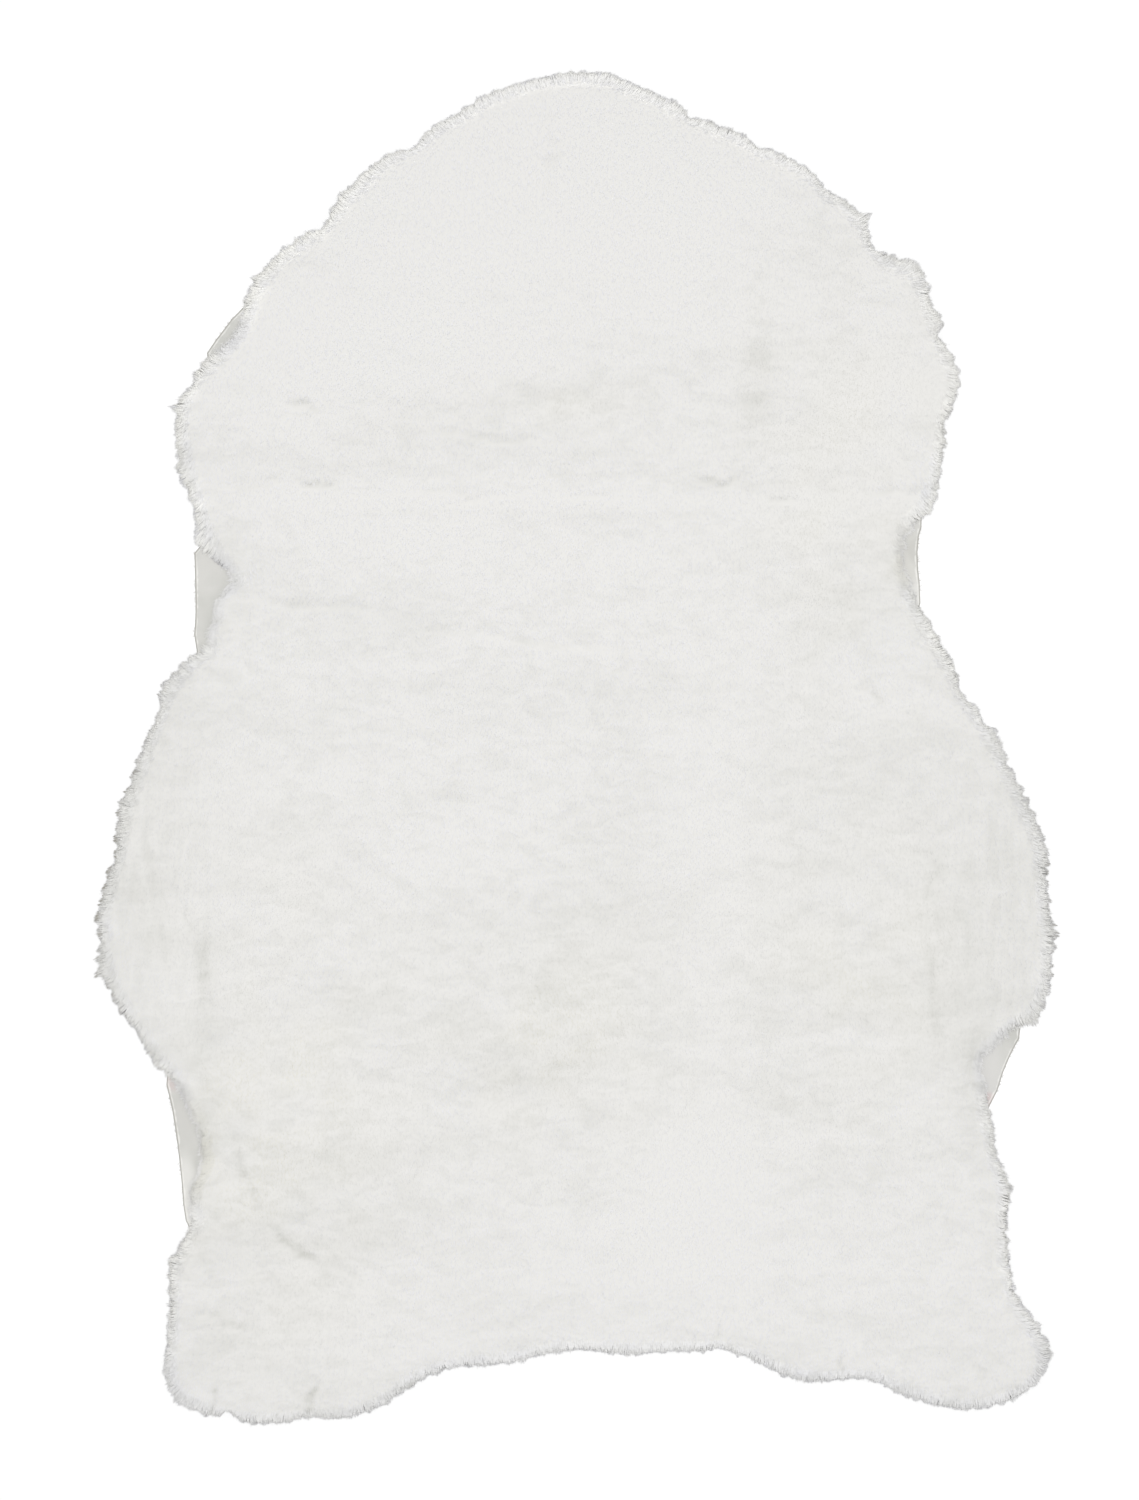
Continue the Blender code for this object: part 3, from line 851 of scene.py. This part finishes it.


# Short shearling: crimped white fibres, each glossy, but so many and so fine that the coat is matt. It is
# yellower where it is older, and greyer at its roots, partly as painted shade.
# Its rim has painted light just inside the tips and painted shade at the very edge, and its partings, clefts
# and nap carry painted shade.
woolLook = {
    "tip": "#e4e4e7",
    "warm": "#e4e2d8",
    # painted shade: partings, clefts, strokes, the lie of the nap and the darker zones
    "dark": "#c2c2bc",
    # the roots are a little greyer: partly the wool's own tone, partly painted shade of the pile's depth
    "root": "#e2e1de",
    # painted light, just inside the rim's tips
    "paintedRimLight": "#faf9f4",
    # painted shade, at the very edge of the rim
    "paintedRimShade": "#a29e93",
    "rootShare": 0.6,  # of a fibre's length
    "patches": {"Scale": 24.0, "Detail": 3.0},  # 42 mm
    "patchRange": {"From Min": 0.32, "From Max": 0.56},
    "grain": {  # each is a stretch of the noise and its settings
        # painted shade where the nap lies a little otherwise, 125 mm by 30 mm
        "bands": ((8.0, 34.0, 20.0), {"Detail": 2.0, "Distortion": 0.3}),
        # painted shade in small soft clefts, 13 mm by 7 mm
        "dashes": ((75.0, 150.0, 75.0), {"Detail": 3.0, "Roughness": 0.45, "Distortion": 0.6}),
        # painted shade on the flanks, where the wool lies in strokes 24 mm by 7 mm
        "strokes": ((150.0, 42.0, 100.0), {"Detail": 3.0, "Distortion": 0.5}),
        # painted shade in combed streaks, 2.4 mm wide
        "streaks": ((420.0, 70.0, 200.0), {"Detail": 2.0}),
    },
    "furrowRange": {"From Min": 0.28, "From Max": 0.6, "To Min": 0.46, "To Max": 0.0},
    "flank": {"Location": (0.29, -0.09, 0.0), "Scale": (0.11, 0.19, 1.0)},
    "flankRange": {"From Min": 1.0, "From Max": 0.4, "To Max": 0.6},
    "bandShare": 0.9,
    "streakShare": 0.12,
    "shadeStart": -0.2,
    "finish": {"Roughness": 0.9, "Sheen Weight": 0.08, "Specular IOR Level": 0.15},
}


def woolMaterial(name):
    material, tree, surface = newMaterial(name, woolLook["finish"])
    place = addNode(tree, "ShaderNodeTexCoord").outputs["Object"]
    marked = addNode(tree, "ShaderNodeAttribute", {"attribute_name": "marks"}).outputs["Vector"]
    marks = addNode(tree, "ShaderNodeSeparateXYZ", (), {0: marked}).outputs
    along = addNode(tree, "ShaderNodeAttribute", {"attribute_name": "along"}).outputs["Fac"]

    # white at the tips, with warm patches
    patches = addNode(tree, "ShaderNodeTexNoise", woolLook["patches"], {"Vector": place})
    patchy = addNode(tree, "ShaderNodeMapRange", woolLook["patchRange"], {"Value": patches.outputs["Fac"]})
    warmth = addNode(tree, "ShaderNodeMath", {"operation": "MULTIPLY"},
                     {0: patchy.outputs["Result"], 1: marks["Y"]})
    clean = addNode(tree, "ShaderNodeMix", {"data_type": "RGBA", 6: linearColour(woolLook["tip"]),
                                            7: linearColour(woolLook["warm"])}, {0: warmth.outputs["Value"]})
    rise = addNode(tree, "ShaderNodeMapRange", {"From Min": 0.0, "From Max": woolLook["rootShare"]},
                   {"Value": along})
    grown = addNode(tree, "ShaderNodeMix", {"data_type": "RGBA", 6: linearColour(woolLook["root"])},
                    {0: rise.outputs["Result"], 7: clean.outputs[2]})

    # painted shade from the way the wool lies, with the zones, partings and clefts
    grain = {}
    for layer, (stretch, settings) in woolLook["grain"].items():
        stretched = addNode(tree, "ShaderNodeMapping", {"Scale": stretch}, {"Vector": place})
        grain[layer] = addNode(tree, "ShaderNodeTexNoise", {"Scale": 1.0, **settings},
                               {"Vector": stretched.outputs["Vector"]}).outputs["Fac"]
    axes = addNode(tree, "ShaderNodeSeparateXYZ", (), {0: place}).outputs
    sideways = addNode(tree, "ShaderNodeMath", {"operation": "ABSOLUTE"}, {0: axes["X"]})
    folded = addNode(tree, "ShaderNodeCombineXYZ", (), {"X": sideways.outputs["Value"], "Y": axes["Y"]})
    toFlank = addNode(tree, "ShaderNodeMapping", {"vector_type": "TEXTURE", **woolLook["flank"]},
                      {"Vector": folded.outputs["Vector"]})
    away = addNode(tree, "ShaderNodeVectorMath", {"operation": "LENGTH"}, {0: toFlank.outputs["Vector"]})
    flank = addNode(tree, "ShaderNodeMapRange", woolLook["flankRange"], {"Value": away.outputs["Value"]})
    furrows = addNode(tree, "ShaderNodeMix", (),
                      {0: flank.outputs["Result"], 2: grain["dashes"], 3: grain["strokes"]})
    dashes = addNode(tree, "ShaderNodeMapRange", woolLook["furrowRange"], {"Value": furrows.outputs[0]})
    banded = addNode(tree, "ShaderNodeMath", {"operation": "MULTIPLY_ADD", 1: woolLook["bandShare"]},
                     {0: grain["bands"], 2: dashes.outputs["Result"]})
    paintedNapShade = addNode(tree, "ShaderNodeMath", {"operation": "MULTIPLY_ADD", 1: woolLook["streakShare"]},
                   {0: grain["streaks"], 2: banded.outputs["Value"]})
    shade = addNode(tree, "ShaderNodeMath",
                    {"operation": "MULTIPLY_ADD", 2: woolLook["shadeStart"], "use_clamp": True},
                    {0: paintedNapShade.outputs["Value"], 1: marks["Z"]})

    # the rim's painted light and painted shade, from the first channel of the marks
    paintedRimLight = addNode(tree, "ShaderNodeMapRange", {"From Min": 0.0, "From Max": -1.0}, {"Value": marks["X"]})
    rimShadeShare = addNode(tree, "ShaderNodeMapRange", {"From Min": 0.0, "From Max": 1.0}, {"Value": marks["X"]})
    colour = grown
    for tint, share in (("paintedRimLight", paintedRimLight), ("dark", shade), ("paintedRimShade", rimShadeShare)):
        colour = addNode(tree, "ShaderNodeMix", {"data_type": "RGBA", 7: linearColour(woolLook[tint])},
                         {0: share.outputs[0], 6: colour.outputs[2]})
    tree.links.new(colour.outputs[2], surface.inputs["Base Color"])
    return material


# Suede: the hide's flesh side, tanned and buffed. Its short nap is quite matt and lies in cloudy lighter and
# darker strokes. Where the knife cut it, the raw, pale core of the hide shows, with a painted highlight on
# it, and the rounded lip outside it carries painted shade. In the pits some spots are painted light and
# shade.
suedeLook = {
    "light": "#d0cfcb",
    "dark": "#c5c5c0",
    # the pale cut: partly the raw core, partly a painted highlight
    "cut": "#f0efeb",
    # painted shade on the lip, where the cut edge rounds down
    "lipShade": "#aaa8a1",
    "clouds": {"Scale": 38.0, "Detail": 5.0, "Distortion": 0.6},  # 26 mm
    "cloudRange": {"From Min": 0.34, "From Max": 0.62},
    "raggedCut": {"Scale": 260.0, "Detail": 2.0},  # 4 mm
    "raggedRange": {"From Min": 0.35, "From Max": 0.65, "To Min": 0.9, "To Max": 0.1},
    "cutFull": 1.2,
    "nap": {"Scale": 520.0, "Detail": 3.0},  # 1.9 mm, drawn some four times coarser than the real nap
    "napRelief": {"Strength": 0.6, "Distance": 0.10 * mm},
    # In the pits: their own tones and pinkish tints, with painted shade on the upper ends beside the fleece
    # and painted light on the lower ends
    "pitTintsAndPaintedLight": (  # x, y, half width and half height in mm, colour
        ((-243, -279), (9, 34), "#dddcd8"),
        ((-243, -228), (9, 22), "#cbcac6"),
        ((214, 108), (16, 40), "#d3d2cd"),
        ((213, 123), (9, 11), "#c9c8c3"),
        ((215, 92), (12, 18), "#dfdeda"),
        ((252, -200), (20, 40), "#d1d0cd"),
        ((257, -219), (7, 6), "#d0c5c3"),
        ((-250, -206), (9, 10), "#cfc7c4"),
    ),
    "spotRange": {"From Min": 1.0, "From Max": 0.45, "interpolation_type": "SMOOTHSTEP"},
    "finish": {"Roughness": 0.88, "Sheen Weight": 0.12, "Specular IOR Level": 0.2},
}


def suedeMaterial(name):
    material, tree, surface = newMaterial(name, suedeLook["finish"])
    place = addNode(tree, "ShaderNodeTexCoord").outputs["Object"]
    clouds = addNode(tree, "ShaderNodeTexNoise", suedeLook["clouds"], {"Vector": place})
    cloudy = addNode(tree, "ShaderNodeMapRange", suedeLook["cloudRange"], {"Value": clouds.outputs["Fac"]})
    colour = addNode(tree, "ShaderNodeMix", {"data_type": "RGBA", 6: linearColour(suedeLook["dark"]),
                                             7: linearColour(suedeLook["light"])},
                     {0: cloudy.outputs["Result"]})
    layers = []
    for (x, y), (width, height), tint in suedeLook["pitTintsAndPaintedLight"]:
        spot = addNode(tree, "ShaderNodeMapping", {"vector_type": "TEXTURE", "Location": (x * mm, y * mm, 0),
                                                   "Scale": (width * mm, height * mm, 1)}, {"Vector": place})
        away = addNode(tree, "ShaderNodeVectorMath", {"operation": "LENGTH"}, {0: spot.outputs["Vector"]})
        near = addNode(tree, "ShaderNodeMapRange", suedeLook["spotRange"], {"Value": away.outputs["Value"]})
        layers.append((tint, near))
    edge = addNode(tree, "ShaderNodeAttribute", {"attribute_name": "edge"}).outputs["Fac"]
    ragged = addNode(tree, "ShaderNodeTexNoise", suedeLook["raggedCut"], {"Vector": place})
    rough = addNode(tree, "ShaderNodeMapRange", suedeLook["raggedRange"], {"Value": ragged.outputs["Fac"]})
    # the pale cut with its painted highlight, then the painted shade of the lip
    paleCutAndHighlight = addNode(tree, "ShaderNodeMapRange", {"From Max": suedeLook["cutFull"]},
                      {"Value": edge, "From Min": rough.outputs["Result"]})
    lipShade = addNode(tree, "ShaderNodeMapRange", {"From Min": 0.0, "From Max": -1.0}, {"Value": edge})
    for tint, share in (*layers, (suedeLook["cut"], paleCutAndHighlight), (suedeLook["lipShade"], lipShade)):
        colour = addNode(tree, "ShaderNodeMix", {"data_type": "RGBA", 7: linearColour(tint)},
                         {0: share.outputs["Result"], 6: colour.outputs[2]})
    tree.links.new(colour.outputs[2], surface.inputs["Base Color"])
    nap = addNode(tree, "ShaderNodeTexNoise", suedeLook["nap"], {"Vector": place})
    bump = addNode(tree, "ShaderNodeBump", suedeLook["napRelief"], {"Height": nap.outputs["Fac"]})
    tree.links.new(bump.outputs["Normal"], surface.inputs["Normal"])
    return material


whiteWool = woolMaterial("white shearling wool")
hide.data.materials.append(suedeMaterial("grey suede"))
fleece = [body, *woolPieces, looseFibres, wispPiece]
for piece in fleece:
    piece.data.materials.append(whiteWool)
print("looks:", [material.name for material in bpy.data.materials])

for piece in [hide, *fleece]:
    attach(piece, "root")
    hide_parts("pelt")

# The camera hangs straight above the rug, as the photographer's did.
view = {
    "distance": 3.0,
    "pixel": 0.623 * mm,
    "frame": (1139, 1500),
    "middle": (575.5, 748.0),  # of the rug, in the photo
    "sensor": 36,  # mm
    "farthest": 20,  # metres
}
camera = addObject("camera", bpy.data.cameras.new("camera"))
scene.camera = camera
camera.data.sensor_width = view["sensor"]
camera.data.lens = view["sensor"] * view["distance"] / (view["frame"][1] * view["pixel"])
camera.data.clip_end = view["farthest"]
camera.location = (
    (view["frame"][0] / 2 - view["middle"][0]) * view["pixel"],
    (view["middle"][1] - view["frame"][1] / 2) * view["pixel"],
    view["distance"],
)

studio = {
    "floorSize": 40,
    "floorFinish": {"Base Color": linearColour("#fbfbfb"), "Roughness": 1.0, "Specular IOR Level": 0.2},
    "dome": 0.2,
    "softbox": 0.8,  # metres square, straight above
    "softboxHeight": 3.6,
    "softboxPower": 119,
}
bpy.ops.mesh.primitive_plane_add(size=studio["floorSize"])
floor = bpy.context.active_object
floor.name = "floor"
floor.data.materials.append(newMaterial("white floor", studio["floorFinish"])[0])

scene.world = scene.world or bpy.data.worlds.new("studio")
scene.world.use_nodes = True
background = scene.world.node_tree.nodes["Background"]
background.inputs["Color"].default_value = (1, 1, 1, 1)
background.inputs["Strength"].default_value = studio["dome"]
softbox = addObject("softbox", bpy.data.lights.new("softbox", "AREA"))
softbox.data.size = studio["softbox"]
softbox.data.energy = studio["softboxPower"]
softbox.location = (0, 0, studio["softboxHeight"])
print("studio: lens", round(camera.data.lens, 1), "mm, softbox", studio["softboxPower"], "W")

scene.view_settings.view_transform = "Standard"
scene.view_settings.look = "None"
